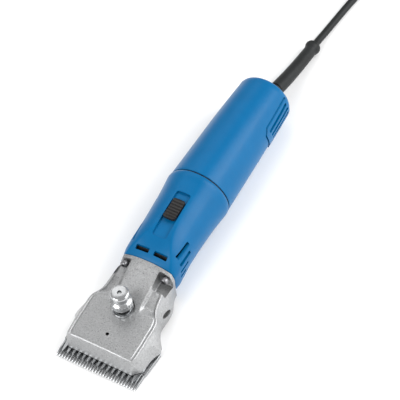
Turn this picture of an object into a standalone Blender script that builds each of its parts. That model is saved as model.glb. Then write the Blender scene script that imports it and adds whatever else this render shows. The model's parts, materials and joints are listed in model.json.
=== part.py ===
"""Corded sheep shears: motor handle, gear stage, rocking lever, comb and cutter.

Sizes are in millimetres and become metres where a mesh is made. The comb lies flat on z = 0 with
its teeth towards -Y, the motor housing runs back along +Y, and +Z is the side with the switch.
"""
import math

import bmesh
import bpy
from mathutils import Vector

MM = 0.001
GAP = 0.3

# Lengthwise stations of the whole tool
TIP_Y = -155.3
PIVOT_Y = -103.0
JOINT_Y = -59.0
WALL = 2.4

# Drive train
MOTOR_Z = 28.0
PINION_TEETH = 9
GEAR_TEETH = 27
TOOTH_MODULE = 0.7
PINION_RADIUS = PINION_TEETH * TOOTH_MODULE / 2
GEAR_RADIUS = GEAR_TEETH * TOOTH_MODULE / 2
CRANK_Z = MOTOR_Z - PINION_RADIUS - GEAR_RADIUS
CRANK_THROW = 2.2
GEAR_Y = (6.0, 14.0)

# Cutting set
COMB_TEETH = 31
COMB_PITCH = 2.45
CUTTER_TEETH = 15
COMB_TOP_Z = 3.6
CUTTER_Z = (3.9, 6.7)
LEVER_Z = (12.9, 17.9)
LEVER_PIN_X = 11.0
LEVER_PIN_Y = -128.0

# Cord
CORD_RADIUS = 3.5
CORD_ROUTE = [
    (4.9, 241.9, 6.9), (5.3, 252.0, 5.7), (6.0, 262.0, 4.7), (7.0, 274.0, 4.0), (8.3, 288.0, 3.7),
    (9.9, 302.0, 3.7), (11.2, 312.0, 3.7), (12.5, 321.0, 3.7),
]
SLEEVE_ROUTE = [
    (1.4, 171.6, 17.3), (2.2, 180.0, 15.9), (3.1, 192.0, 13.9), (3.8, 205.0, 11.9),
    (4.3, 218.0, 10.0), (4.6, 229.0, 8.5), (4.8, 235.0, 7.8), (4.9, 241.5, 7.5),
]
COIL_CENTRE = (-34.5, 366.0)
COIL_INNER = 24.0
COIL_OUTER = 55.5
COIL_LOW = 1.3
COIL_HIGH = 22.6

BLUE = ("blue_shell", (0.012, 0.155, 0.52, 1), 0.38, 0.0)
BLACK = ("black_plastic", (0.018, 0.018, 0.02, 1), 0.5, 0.0)
CAST = ("cast_aluminium", (0.56, 0.57, 0.57, 1), 0.42, 0.9)
CHROME = ("chromed_steel", (0.75, 0.76, 0.78, 1), 0.12, 1.0)
STEEL = ("ground_steel", (0.5, 0.5, 0.51, 1), 0.3, 1.0)
DARK_STEEL = ("dark_steel", (0.16, 0.16, 0.17, 1), 0.4, 1.0)
RUBBER = ("cord_rubber", (0.015, 0.015, 0.016, 1), 0.6, 0.0)
COPPER = ("copper_winding", (0.55, 0.2, 0.08, 1), 0.35, 1.0)
CARBON = ("carbon", (0.03, 0.03, 0.03, 1), 0.7, 0.0)
BRASS = ("brass", (0.65, 0.47, 0.17, 1), 0.3, 1.0)
GREY = ("grey_nylon", (0.3, 0.31, 0.32, 1), 0.5, 0.0)


# ---------------------------------------------------------------- building tools

def clear_scene():
    for item in list(bpy.data.objects):
        bpy.data.objects.remove(item, do_unlink=True)


def collection(name):
    made = bpy.data.collections.new(name)
    bpy.context.scene.collection.children.link(made)
    return made


def material(paint):
    name, colour, roughness, metallic = paint
    found = bpy.data.materials.get(name)
    if found:
        return found
    made = bpy.data.materials.new(name)
    made.use_nodes = True
    shader = made.node_tree.nodes["Principled BSDF"]
    shader.inputs["Base Color"].default_value = colour
    shader.inputs["Roughness"].default_value = roughness
    shader.inputs["Metallic"].default_value = metallic
    return made


def add_object(name, mesh, paint):
    """An object in the parts collection, or a hidden cutter where there is no paint."""
    made = bpy.data.objects.new(name, mesh)
    if paint is None:
        CUTTERS.objects.link(made)
        made.hide_render = True
        made.display_type = "WIRE"
        return made
    PARTS.objects.link(made)
    made.data.materials.clear()
    made.data.materials.append(material(paint))
    return made


def finish_mesh(bm, name, smooth_angle=35):
    mesh = bpy.data.meshes.new(name)
    bm.to_mesh(mesh)
    bm.free()
    mesh.shade_smooth()
    mesh.set_sharp_from_angle(angle=math.radians(smooth_angle))
    return mesh


def box(name, low, high, paint=None, bevel=0.0):
    """A box between two corners, with rounded edges where bevel is given."""
    bm = bmesh.new()
    bmesh.ops.create_cube(bm, size=1.0)
    for vert in bm.verts:
        vert.co = Vector([(low[i] + high[i]) / 2 + vert.co[i] * (high[i] - low[i]) for i in range(3)])
        vert.co *= MM
    made = add_object(name, finish_mesh(bm, name), paint)
    if bevel:
        rounded = made.modifiers.new("rounded", "BEVEL")
        rounded.width = bevel * MM
        rounded.segments = 2
    return made


def turned(name, outline, paint=None, at=(0, 0, 0), along="Z", steps=16):
    """A turned solid: outline points are (radius, height), running down its outer side.

    An outline that doesn't start and end on the axis is a closed ring section.
    """
    bm = bmesh.new()
    verts = [bm.verts.new((r * MM, 0, h * MM)) for r, h in outline]
    for first, second in zip(verts, verts[1:]):
        bm.edges.new((first, second))
    if outline[0][0] or outline[-1][0]:
        bm.edges.new((verts[-1], verts[0]))
    made = add_object(name, finish_mesh(bm, name), paint)
    screw = made.modifiers.new("turn", "SCREW")
    screw.steps = steps
    screw.render_steps = steps
    screw.use_merge_vertices = True
    screw.merge_threshold = 0.00001
    made.location = Vector(at) * MM
    if along == "Y":
        made.rotation_euler = (-math.pi / 2, 0, 0)
    if along == "X":
        made.rotation_euler = (0, math.pi / 2, 0)
    return made


def ring_outline(outer, inner, low, high):
    return [(outer, high), (outer, low), (inner, low), (inner, high)]


def rod_outline(radius, low, high, chamfer=0.0):
    if not chamfer:
        return [(0, high), (radius, high), (radius, low), (0, low)]
    return [(0, high), (radius - chamfer, high), (radius, high - chamfer),
            (radius, low + chamfer), (radius - chamfer, low), (0, low)]


def mesh_from_curve(name, curve_object, paint):
    """Turns a curve into a welded mesh object in the same place."""
    bpy.context.view_layer.update()
    graph = bpy.context.evaluated_depsgraph_get()
    mesh = bpy.data.meshes.new_from_object(curve_object.evaluated_get(graph))
    place = curve_object.matrix_world.copy()
    bpy.data.objects.remove(curve_object, do_unlink=True)
    bm = bmesh.new()
    bm.from_mesh(mesh)
    bmesh.ops.remove_doubles(bm, verts=bm.verts, dist=0.000001)
    bmesh.ops.recalc_face_normals(bm, faces=bm.faces)
    bm.to_mesh(mesh)
    bm.free()
    mesh.shade_smooth()
    mesh.set_sharp_from_angle(angle=math.radians(35))
    made = add_object(name, mesh, paint)
    made.matrix_world = place
    return made


def plate(name, loops, low, high, paint=None, along="Z"):
    """A flat plate: closed loops of (x, y), extruded from low to high along one axis."""
    curve = bpy.data.curves.new(name, "CURVE")
    curve.dimensions = "2D"
    curve.fill_mode = "BOTH"
    curve.extrude = (high - low) / 2 * MM
    for loop in loops:
        spline = curve.splines.new("POLY")
        spline.points.add(len(loop) - 1)
        for point, (x, y) in zip(spline.points, loop):
            point.co = (x * MM, y * MM, 0, 1)
        spline.use_cyclic_u = True
    holder = bpy.data.objects.new(name, curve)
    bpy.context.scene.collection.objects.link(holder)
    middle = (low + high) / 2 * MM
    holder.location = (0, 0, middle)
    if along == "Y":
        holder.location = (0, middle, 0)
        holder.rotation_euler = (math.pi / 2, 0, 0)
    return mesh_from_curve(name, holder, paint)


def tube(name, route, radii, paint, resolution=2):
    """A round bar along a route, with one radius for each point."""
    curve = bpy.data.curves.new(name, "CURVE")
    curve.dimensions = "3D"
    curve.bevel_depth = MM
    curve.bevel_resolution = resolution
    curve.use_fill_caps = True
    spline = curve.splines.new("POLY")
    spline.points.add(len(route) - 1)
    for point, place, radius in zip(spline.points, route, radii):
        point.co = (*[value * MM for value in place], 1)
        point.radius = radius
    holder = bpy.data.objects.new(name, curve)
    bpy.context.scene.collection.objects.link(holder)
    return mesh_from_curve(name, holder, paint)


def loft(name, rings, paint=None, capped=True):
    """A skin through rings of equal point counts, closed at both ends unless it is a sleeve."""
    bm = bmesh.new()
    rows = [[bm.verts.new(Vector(point) * MM) for point in ring] for ring in rings]
    count = len(rings[0])
    for first, second in zip(rows, rows[1:]):
        for i in range(count):
            j = (i + 1) % count
            bm.faces.new((first[i], first[j], second[j], second[i]))
    if capped:
        bm.faces.new(list(reversed(rows[0])))
        bm.faces.new(rows[-1])
    bmesh.ops.recalc_face_normals(bm, faces=bm.faces)
    bmesh.ops.triangulate(bm, faces=bm.faces)
    return add_object(name, finish_mesh(bm, name, 30), paint)


def boolean(target, other, operation="DIFFERENCE"):
    step = target.modifiers.new(other.name, "BOOLEAN")
    step.operation = operation
    step.object = other
    step.solver = "EXACT"
    return target


def circle(radius, centre=(0, 0), count=24, start=0.0, sweep=2 * math.pi):
    ends = 0 if sweep == 2 * math.pi else 1
    return [(centre[0] + radius * math.cos(start + sweep * i / (count - ends)),
             centre[1] + radius * math.sin(start + sweep * i / (count - ends)))
            for i in range(count)]


def eased(table, y):
    """Reads a table of (y, values...) rows at one station, along smooth curves."""
    rows = sorted(table)
    if y <= rows[0][0]:
        return rows[0][1:]
    for i in range(len(rows) - 1):
        if rows[i][0] <= y <= rows[i + 1][0]:
            break
    else:
        return rows[-1][1:]
    before = rows[max(i - 1, 0)]
    low, high = rows[i], rows[i + 1]
    after = rows[min(i + 2, len(rows) - 1)]
    span = high[0] - low[0]
    t = (y - low[0]) / span
    values = []
    for k in range(1, len(low)):
        slope_low = (high[k] - before[k]) / max(high[0] - before[0], 0.001) * span
        slope_high = (after[k] - low[k]) / max(after[0] - low[0], 0.001) * span
        values.append((2 * t**3 - 3 * t**2 + 1) * low[k] + (t**3 - 2 * t**2 + t) * slope_low
                      + (3 * t**2 - 2 * t**3) * high[k] + (t**3 - t**2) * slope_high)
    return values


# ---------------------------------------------------------------- housing

# Station y, half width, centre z, barrel height above it, top z, bottom z,
# upper and lower fullness, half width of the flat on top
FRONT_STATIONS = [
    (-59.0, 25.6, 29.5, 16.5, 42.5, 1.6, 2.1, 3.3, 22.8),
    (-53.0, 26.7, 29.8, 18.5, 45.2, 1.3, 2.2, 3.3, 20.0),
    (-45.0, 26.8, 30.0, 21.5, 48.4, 1.4, 2.2, 2.9, 15.5),
    (-33.0, 26.8, 30.0, 24.3, 52.2, 1.8, 2.1, 2.4, 10.5),
    (-20.0, 27.2, 30.0, 25.8, 54.9, 2.0, 2.0, 2.2, 8.5),
    (-8.0, 27.8, 30.0, 27.0, 56.2, 1.9, 2.0, 2.1, 8.0),
    (8.0, 28.7, 30.0, 28.4, 57.8, 1.3, 2.0, 2.0, 8.0),
    (20.0, 29.9, 30.2, 29.8, 59.4, 0.4, 2.0, 2.0, 8.0),
    (25.5, 30.4, 30.5, 30.3, 60.6, 0.1, 2.0, 2.0, 8.0),
    (28.9, 30.0, 30.3, 29.9, 60.1, 0.3, 2.0, 2.0, 8.0),
]
# Station y, radius
REAR_STATIONS = [
    (30.1, 29.8), (60.0, 29.0), (100.0, 27.9), (130.0, 26.8), (148.0, 25.9), (152.0, 25.4),
    (154.5, 24.2), (155.3, 22.4),
]
TOP_POINTS = 3
SIDE_POINTS = 5


def superellipse_height(x, width, height, power):
    return height * max(0.0, 1 - (abs(x) / width) ** power) ** (1 / power)


def front_ring(y, inset=0.0):
    """One section of the front housing: a barrel whose top is cut to a gently crowned flat."""
    width, centre, barrel, top, bottom, fullness, low_fullness, flat = eased(FRONT_STATIONS, y)
    width -= inset
    barrel -= inset
    top -= inset
    bottom += inset
    flat = min(flat, width * 0.93)
    corner = centre + superellipse_height(flat, width, barrel, fullness)
    half = []
    for i in range(TOP_POINTS):
        x = flat * i / TOP_POINTS
        half.append((x, top - (top - corner) * (i / TOP_POINTS) ** 2))
    start = math.acos(min(1.0, (flat / width) ** (fullness / 2)))
    for i in range(SIDE_POINTS):
        angle = start * (1 - i / SIDE_POINTS)
        half.append((width * math.cos(angle) ** (2 / fullness),
                     centre + barrel * math.sin(angle) ** (2 / fullness)))
    for i in range(SIDE_POINTS + 1):
        angle = math.pi / 2 * i / SIDE_POINTS
        half.append((width * max(0.0, math.cos(angle)) ** (2 / low_fullness),
                     centre - (centre - bottom) * math.sin(angle) ** (2 / low_fullness)))
    half[-1] = (0.0, bottom)
    left = [(-x, z) for x, z in reversed(half[1:-1])]
    return [(x, y, z) for x, z in half + left]


def rear_ring(y, inset=0.0, count=32):
    radius = eased(REAR_STATIONS, y)[0]
    centre = eased([(30.1, 30.1), (60.0, 29.1), (100.0, 28.0), (130.0, 26.9), (155.3, 25.9)], y)[0]
    radius -= inset
    return [(radius * math.sin(2 * math.pi * i / count), y,
             centre + radius * math.cos(2 * math.pi * i / count)) for i in range(count)]


def stations(low, high, step):
    count = max(2, round((high - low) / step) + 1)
    return [low + (high - low) * i / (count - 1) for i in range(count)]


def shell(name, rings, thickness, paint):
    made = loft(name, rings, paint, capped=False)
    wall = made.modifiers.new("wall", "SOLIDIFY")
    wall.thickness = thickness * MM
    wall.offset = -1
    return made


def front_vent_cutters():
    """Two windows in the flat top and four slots down each side, near the joint."""
    cutters = []
    for side in (-1, 1):
        for low, high in [((3.0, -55.2, 36), (14.4, -51.6, 52)),
                          ((12, -46.4, 41.3), (34, -28.2, 44.6)),
                          ((12, -48.4, 35.1), (34, -31.6, 38.1)),
                          ((12, -50.4, 28.6), (34, -37.6, 31.1)),
                          ((12, -51.1, 22.7), (34, -42.6, 25.1))]:
            xs = sorted((side * low[0], side * high[0]))
            cutters.append(box("vent_cut", (xs[0], low[1], low[2]), (xs[1], high[1], high[2])))
    return cutters


def switch_track():
    """The finger recess in the top of the front housing, in which the slide runs."""
    return box("track_cut", (-6.6, -35.5, 53.8), (6.6, 7.5, 64))


def build_front_housing():
    rings = [front_ring(y) for y in stations(JOINT_Y, 20.0, 8.8)]
    rings += [front_ring(y) for y in (23.5, 26.0, 28.9)]
    body = shell("front_housing", rings, WALL, BLUE)
    # The pad's own axes (y, z) stand in the plate's x and y, so the plate is turned upright
    pad = plate("track_pad", [[(-14.0, 50.9), (9.5, 50.9), (9.5, 55.7), (-14.0, 53.5)]], -8.8, 8.8)
    pad.rotation_euler = (math.pi / 2, 0, math.pi / 2)
    boolean(body, pad, "UNION")
    boolean(body, switch_track())
    boolean(body, box("stem_slot", (-2.6, -19.0, 40), (2.6, -3.0, 60)))
    for cutter in front_vent_cutters():
        boolean(body, cutter)
    return body


def build_rear_housing():
    rings = [rear_ring(y) for y in stations(30.1, 148.0, 24.0)]
    rings += [rear_ring(y) for y in (152.0, 154.5, 155.3)]
    body = shell("rear_housing", rings, WALL, BLUE)
    end = turned("tail_wall", rod_outline(23.0, 151.0, 154.2), None, (0, 0, 25.9), "Y", 32)
    boolean(body, end, "UNION")
    boolean(body, turned("cord_hole", rod_outline(7.5, 140, 170), None, (1, 0, 18.6), "Y"))
    for side in (-1, 1):
        boolean(body, vent_window(side, 0.0, "window_cut"))
    return body


def vent_window(side, shrink, name):
    """The block that bounds one side's vent cover: straight behind, slanted in front."""
    outline = [(150.4 - shrink, 15.0 + shrink), (150.4 - shrink, 40.2 - shrink),
               (111.4 + shrink * 0.6, 41.4 - shrink), (105.4 + shrink, 36.4),
               (108.4 + shrink, 15.0 + shrink)]
    block = plate(name, [outline], 12.0, 34.0)
    # The outline's own axes (y, z) stand in the plate's x and y, so the plate is turned upright
    block.rotation_euler = (math.pi / 2, 0, math.pi / 2)
    block.location = (side * 23.0 * MM, 0, 0)
    return block


def build_vent_cover(side, name):
    rings = [rear_ring(y, 0.15) for y in stations(100.0, 148.0, 12.0)] + [rear_ring(152.0, 0.15)]
    cover = shell(name, rings, 2.0, BLUE)
    boolean(cover, vent_window(side, GAP, "cover_bounds"), "INTERSECT")
    for k, (low, high) in enumerate([(112.0, 147.0), (113.0, 147.5), (114.5, 147.5)]):
        z = 35.8 - 5.4 * k
        xs = sorted((side * 14.0, side * 36.0))
        boolean(cover, box("slot_cut", (xs[0], low, z - 1.3), (xs[1], high, z + 1.3)))
    return cover


def build_seam_ring():
    """The dark centring ring that shows as a thin line between the two housings."""
    outline = [(29.3, 29.75), (29.3, 29.25), (27.0, 29.25), (27.0, 26.0), (25.2, 26.0),
               (25.2, 33.0), (27.0, 33.0), (27.0, 29.75)]
    return turned("seam_ring", outline, BLACK, (0, 0, 30.1), "Y", 24)


def bulkhead(name, ring, low, high, holes, paint):
    """A wall across the housing, with bores for what passes through it."""
    flat = [(x, low, z) for x, _, z in ring]
    wall = loft(name, [flat, [(x, high, z) for x, _, z in ring]], paint)
    for radius, x, z in holes:
        boolean(wall, turned("bore", rod_outline(radius, low - 5, high + 5), None, (x, 0, z), "Y"))
    return wall


def build_switch():
    slider = box("switch_slider", (-5.7, -21.0, 54.1), (5.7, 0.0, 57.6), BLACK, 0.5)
    boolean(slider, box("switch_stem", (-2.0, -13.5, 50.4), (2.0, -8.5, 54.6)), "UNION")
    for k in range(6):
        y = -17.5 + 2.8 * k
        boolean(slider, box("grip_cut", (-4.6, y - 0.55, 56.8), (4.6, y + 0.55, 59)))
    box("switch_body", (-6.5, -22.0, 39.5), (6.5, 2.0, 50.0), BLACK, 0.6)


# ---------------------------------------------------------------- motor and gear stage

def build_motor():
    z = MOTOR_Z
    place = (0, 0, z)
    nose = GEAR_Y[0] - 1.0
    shaft = [(0, 144.0), (2.1, 144.0), (2.5, 143.6), (2.5, 16.0), (1.6, 16.0), (1.6, nose), (0, nose)]
    turned("armature_shaft", shaft, STEEL, place, "Y", 16)
    turned("armature_core", ring_outline(12.4, 2.8, 54.0, 92.0), DARK_STEEL, place, "Y", 16)
    for name, low, high in (("winding_front", 45.5, 53.7), ("winding_rear", 92.3, 101.0)):
        outline = [(9.0, high), (11.6, (low + high) / 2 + 2), (11.6, (low + high) / 2 - 2),
                   (9.0, low), (2.8, low), (2.8, high)]
        turned(name, outline, COPPER, place, "Y", 16)
    commutator = turned("commutator", ring_outline(8.5, 2.8, 104.0, 117.0), BRASS, place, "Y", 16)
    for k in range(12):
        cut = box("segment_cut", (8.0, 103.5, -0.3), (9.0, 117.5, 0.3))
        cut.location = place[0], place[1], place[2] * MM
        cut.rotation_euler = (0, math.radians(30 * k + 15), 0)
        boolean(commutator, cut)
    build_fan()
    turned("bearing_front", bearing_outline(6.3, 2.8, 20.2, 26.0), STEEL, place, "Y", 16)
    turned("bearing_rear", bearing_outline(8.0, 2.8, 131.2, 138.2), STEEL, place, "Y", 16)
    core = turned("field_core", ring_outline(22.0, 13.2, 56.0, 90.0), DARK_STEEL, place, "Y", 32)
    for side in (-1, 1):
        pocket = box("coil_pocket", (-9.0, 50, side * 15.6 - 3.4), (9.0, 96, side * 15.6 + 3.4))
        pocket.location = (0, 0, z * MM)
        boolean(core, pocket)
        build_field_coil(side)
        build_brush(side)


def bearing_outline(outer, inner, low, high):
    """A sealed ball bearing's section, with a shallow recess for the shield on each side."""
    mid = (outer + inner) / 2
    return [(outer, high), (outer, low), (mid + 1, low), (mid + 1, low + 0.4), (mid - 1, low + 0.4),
            (mid - 1, low), (inner, low), (inner, high), (mid - 1, high), (mid - 1, high - 0.4),
            (mid + 1, high - 0.4), (mid + 1, high)]


def build_fan():
    fan = turned("fan", ring_outline(20.5, 2.8, 34.5, 36.3), BLACK, (0, 0, MOTOR_Z), "Y", 16)
    blade = box("fan_blade", (6.0, 35.8, -0.8), (20.0, 43.0, 0.8))
    hub = turned("fan_hub", ring_outline(6.6, 2.8, 34.8, 43.0), None, (0, 0, MOTOR_Z), "Y", 16)
    boolean(fan, hub, "UNION")
    for k in range(8):
        vane = bpy.data.objects.new("fan_vane", blade.data)
        CUTTERS.objects.link(vane)
        vane.hide_render = True
        vane.display_type = "WIRE"
        vane.location = (0, 0, MOTOR_Z * MM)
        vane.rotation_euler = (0, math.radians(45 * k + 10), 0)
        boolean(fan, vane, "UNION")
    bpy.data.objects.remove(blade, do_unlink=True)


def build_field_coil(side):
    """A racetrack winding round one pole, above or below the armature."""
    names = {1: "field_coil_upper", -1: "field_coil_lower"}
    outer = [(8.4, 53.0), (8.4, 93.0), (5.5, 95.6), (-5.5, 95.6), (-8.4, 93.0), (-8.4, 53.0),
             (-5.5, 50.4), (5.5, 50.4)]
    inner = [(4.4, 56.5), (4.4, 89.5), (-4.4, 89.5), (-4.4, 56.5)]
    z = MOTOR_Z + side * 15.6
    plate(names[side], [outer, inner], z - 2.0, z + 2.0, COPPER)


def build_brush(side):
    hand = "right" if side > 0 else "left"
    y = (107.5, 113.5)
    xs = sorted((side * 8.9, side * 17.0))
    box("brush_" + hand, (xs[0], y[0], MOTOR_Z - 2), (xs[1], y[1], MOTOR_Z + 2), CARBON)
    xs = sorted((side * 10.5, side * 20.5))
    holder = box("brush_holder_" + hand, (xs[0], y[0] - 2.2, MOTOR_Z - 4.2),
                 (xs[1], y[1] + 2.2, MOTOR_Z + 4.2), BRASS)
    xs = sorted((side * 9.0, side * 18.6))
    boolean(holder, box("holder_cut", (xs[0], y[0] - GAP, MOTOR_Z - 2 - GAP),
                        (xs[1], y[1] + GAP, MOTOR_Z + 2 + GAP)))


def gear_outline(teeth, radius, centre, turn):
    """Tapered teeth round a pitch circle; turn places the first tooth's middle."""
    tip = radius + TOOTH_MODULE * 0.75
    root = radius - TOOTH_MODULE * 1.1
    step = 2 * math.pi / teeth
    points = []
    for k in range(teeth):
        middle = turn + step * k
        for share, reach in ((-0.30, root), (-0.10, tip), (0.10, tip), (0.30, root)):
            angle = middle + share * step
            points.append((centre[0] + reach * math.cos(angle),
                           centre[1] + reach * math.sin(angle)))
    return points


def build_gears():
    low, high = GEAR_Y
    # A plate along Y holds its outline's second axis upright
    pinion = gear_outline(PINION_TEETH, PINION_RADIUS, (0, MOTOR_Z), -math.pi / 2)
    plate("pinion", [pinion, circle(1.9, (0, MOTOR_Z), 12)], low, high, STEEL, "Y")
    half_tooth = math.pi / GEAR_TEETH
    wheel = gear_outline(GEAR_TEETH, GEAR_RADIUS, (0, CRANK_Z), math.pi / 2 + half_tooth)
    plate("gear_wheel", [wheel, circle(4.3, (0, CRANK_Z), 14)], low + 0.6, high - 0.6, GREY, "Y")
    place = (0, 0, CRANK_Z)
    shaft = [(0, 25.0), (2.6, 25.0), (3.0, 24.6), (3.0, 16.0), (4.0, 16.0), (4.0, -41.0),
             (3.0, -41.0), (3.0, -53.6), (0, -53.6)]
    turned("gear_shaft", shaft, STEEL, place, "Y", 16)
    turned("gear_bush_rear", ring_outline(4.9, 3.3, 20.2, 25.6), BRASS, place, "Y", 16)
    turned("gear_bush_front", ring_outline(6.2, 3.3, -49.6, -43.6), BRASS, place, "Y", 16)
    crank = turned("crank_disc", rod_outline(7.2, -58.2, -53.9, 0.5), STEEL, place, "Y", 32)
    pin = turned("crank_pin", rod_outline(1.9, -71.5, -56.0), None,
                 (CRANK_THROW, 0, CRANK_Z), "Y", 16)
    boolean(crank, pin, "UNION")
    turned("crank_roller", ring_outline(3.6, 2.2, -71.0, -62.0), BRASS,
           (CRANK_THROW, 0, CRANK_Z), "Y", 16)


# ---------------------------------------------------------------- head

# Station y on top, y at the bottom, half width and z of the top's edge, top z in the middle,
# half width at the skirt, skirt z, underside z
HEAD_STATIONS = [
    (-59.3, -59.3, 22.6, 37.6, 42.0, 25.4, 24.0, 4.2),
    (-64.0, -64.0, 22.8, 36.2, 40.6, 26.0, 20.0, 4.2),
    (-70.0, -70.0, 23.0, 34.3, 38.6, 28.4, 15.0, 4.2),
    (-76.0, -76.0, 23.4, 32.4, 36.6, 30.8, 12.5, 4.2),
    (-84.0, -84.0, 24.4, 30.4, 34.0, 31.6, 11.5, 4.2),
    (-92.0, -92.0, 25.8, 28.8, 31.4, 31.4, 11.0, 4.2),
    (-97.0, -97.0, 28.4, 28.0, 29.8, 31.6, 10.5, 4.2),
    (-101.0, -101.0, 31.0, 27.4, 28.8, 33.2, 10.0, 4.2),
    (-106.0, -106.0, 31.9, 26.9, 28.2, 36.4, 9.6, 4.2),
    (-112.0, -112.0, 32.0, 26.4, 27.7, 40.6, 9.4, 4.2),
    (-117.0, -117.0, 31.9, 26.0, 27.3, 41.9, 9.4, 4.2),
    (-121.5, -121.5, 31.6, 25.7, 27.0, 40.2, 9.2, 4.2),
    (-127.0, -127.0, 31.0, 25.4, 26.5, 38.8, 9.0, 4.2),
    (-134.0, -134.5, 30.2, 25.0, 25.9, 38.0, 9.0, 4.2),
    (-138.6, -140.6, 28.9, 24.8, 25.4, 36.2, 9.0, 4.2),
    (-141.0, -144.6, 27.4, 24.4, 25.0, 30.6, 8.8, 4.2),
]
KNOB_SEAT_Z = 27.8


def head_ring(row):
    """One section of the casting: a crowned top, a sloping flank and an upright skirt."""
    y_top, y_low, edge_x, edge_z, mid_z, skirt_x, skirt_z, low_z = row
    half = []
    for i in range(6):
        t = i / 6
        half.append((edge_x * t, mid_z - (mid_z - edge_z) * t**2.4))
    round_in = 1.6
    half.append((edge_x, edge_z - 0.15))
    half.append((edge_x + 0.9, edge_z - round_in))
    for i in range(1, 5):
        t = i / 5
        bulge = 1.1 * math.sin(math.pi * t)
        half.append((edge_x + 0.9 + (skirt_x - edge_x - 0.9) * t + bulge,
                     edge_z - round_in + (skirt_z - edge_z + round_in) * t))
    half.append((skirt_x, skirt_z))
    half.append((skirt_x, low_z + 1.0))
    half.append((skirt_x - 1.0, low_z))
    half.append((skirt_x * 0.5, low_z))
    half.append((0.0, low_z))
    ring = half + [(-x, z) for x, z in reversed(half[1:-1])]
    share = [(mid_z - z) / (mid_z - low_z) for _, z in ring]
    return [(x, y_top + (y_low - y_top) * s, z) for (x, z), s in zip(ring, share)]


def build_head_casting():
    casting = loft("head_casting", [head_ring(row) for row in HEAD_STATIONS], CAST)
    boolean(casting, box("lever_cavity", (-15.4, -134.6, 8.6), (15.4, -50, 21.9)))
    boolean(casting, box("lever_cavity_front", (-19.0, -134.7, -2), (19.0, -113.0, 20.5)))
    boolean(casting, box("cutter_space", (-60, -160, -2), (60, -112.0, 7.3)))
    stepped = [(0, 45), (10.6, 45), (10.6, KNOB_SEAT_Z), (4.6, KNOB_SEAT_Z), (4.6, 15), (0, 15)]
    boolean(casting, turned("post_bore", stepped, None, (0, PIVOT_Y, 0), "Z", 24))
    boolean(casting, turned("top_oil_hole", rod_outline(1.1, 15, 40), None, (0, -129.0, 0), "Z", 12))
    for side in (-1, 1):
        boolean(casting, turned("screw_bore", rod_outline(2.4, -80, -50), None,
                                (side * 19.8, 0, 33.0), "Y", 16))
        boolean(casting, box("pocket_%d" % side, *pocket_corners(side), None, 1.2))
        boolean(casting, turned("comb_bore", rod_outline(2.4, 0, 12.8), None,
                                (side * 22.0, -101.0, 0), "Z", 12))
        oil = turned("side_oil_hole", rod_outline(1.9, 18, 45), None, (0, -84.5, 15.0), "X", 16)
        oil.rotation_euler = (0, side * math.pi / 2, 0)
        oil.scale = (1.0, 2.6, 1.0)
        boolean(casting, oil)
    return casting


def pocket_corners(side):
    xs = sorted((side * 13.6, side * 26.6))
    return (xs[0], -77.5, 28.9), (xs[1], -63.5, 48.0)


def build_head_screws():
    for side, hand in ((-1, "left"), (1, "right")):
        outline = [(0, -60.2), (2.1, -60.2), (2.1, -63.8), (3.5, -63.8), (3.5, -67.6),
                   (3.1, -68.0), (1.7, -68.0), (1.7, -66.2), (0, -66.2)]
        turned("head_screw_" + hand, outline, DARK_STEEL, (side * 19.8, 0, 33.0), "Y", 16)


def build_tension_set():
    place = (0, PIVOT_Y, 0)
    knob = [(0, 54.6), (6.6, 54.6), (8.2, 53.2), (8.2, 47.6), (7.2, 46.4), (7.2, 44.6), (9.6, 42.6),
            (9.6, 38.2), (9.0, 37.6), (4.4, 37.6), (4.4, 50.0), (0, 50.0)]
    turned("tension_knob", knob, CHROME, place, "Z", 24)
    turned("thrust_washer", ring_outline(8.8, 4.5, 36.0, 37.3), CHROME, place, "Z", 14)
    spring = helix(place, 6.6, 32.1, 35.0, 2.0, 12)
    tube("tension_spring", spring, [0.65] * len(spring), STEEL, 1)
    seat = ring_outline(9.4, 4.8, KNOB_SEAT_Z + GAP, 31.2)
    turned("spring_seat", seat, CHROME, place, "Z", 14)
    post = [(0, 49.4), (3.5, 49.4), (4.0, 48.9), (4.0, 20.4), (2.6, 18.9), (0, 18.2)]
    turned("pressure_post", post, STEEL, place, "Z", 24)


def helix(place, radius, low, high, turns, steps):
    count = round(turns * steps)
    points = []
    for i in range(count + 1):
        angle = 2 * math.pi * i / steps
        points.append((place[0] + radius * math.cos(angle), place[1] + radius * math.sin(angle),
                       low + (high - low) * i / count))
    return points


def lever_outline():
    """Fork behind the pivot, round hub, and two arms to the cutter's pins."""
    half = [(0, -121.5), (6.2, -132.6), (LEVER_PIN_X, -133.0), (15.0, -129.5), (15.0, -126.0),
            (9.2, -112.0), (8.6, -98.0), (8.4, -86.0), (12.3, -78.0), (12.3, -61.5),
            (8.3, -61.5), (8.3, -74.5), (5.5, -78.5), (0, -79.5)]
    return half + [(-x, y) for x, y in reversed(half[1:-1])]


def build_lever():
    low, high = LEVER_Z
    lever = plate("swing_lever", [lever_outline()], low, high, STEEL)
    boolean(lever, turned("pivot_dimple", rod_outline(3.4, 17.0, 25), None, (0, PIVOT_Y, 0)))
    turned("lever_pivot", [(0, 18.0), (1.6, 17.9), (2.8, 17.6), (3.0, 17.3), (0, 17.3)], BRASS,
           (0, PIVOT_Y, 0), "Z", 14)
    for side, hand in ((-1, "left"), (1, "right")):
        outline = [(0, low - GAP), (2.6, low - GAP), (2.6, 8.6), (1.9, 8.0), (1.9, 5.4),
                   (1.2, 4.6), (0, 4.6)]
        turned("lever_pin_" + hand, outline, STEEL, (side * LEVER_PIN_X, LEVER_PIN_Y, 0), "Z", 14)


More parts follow.
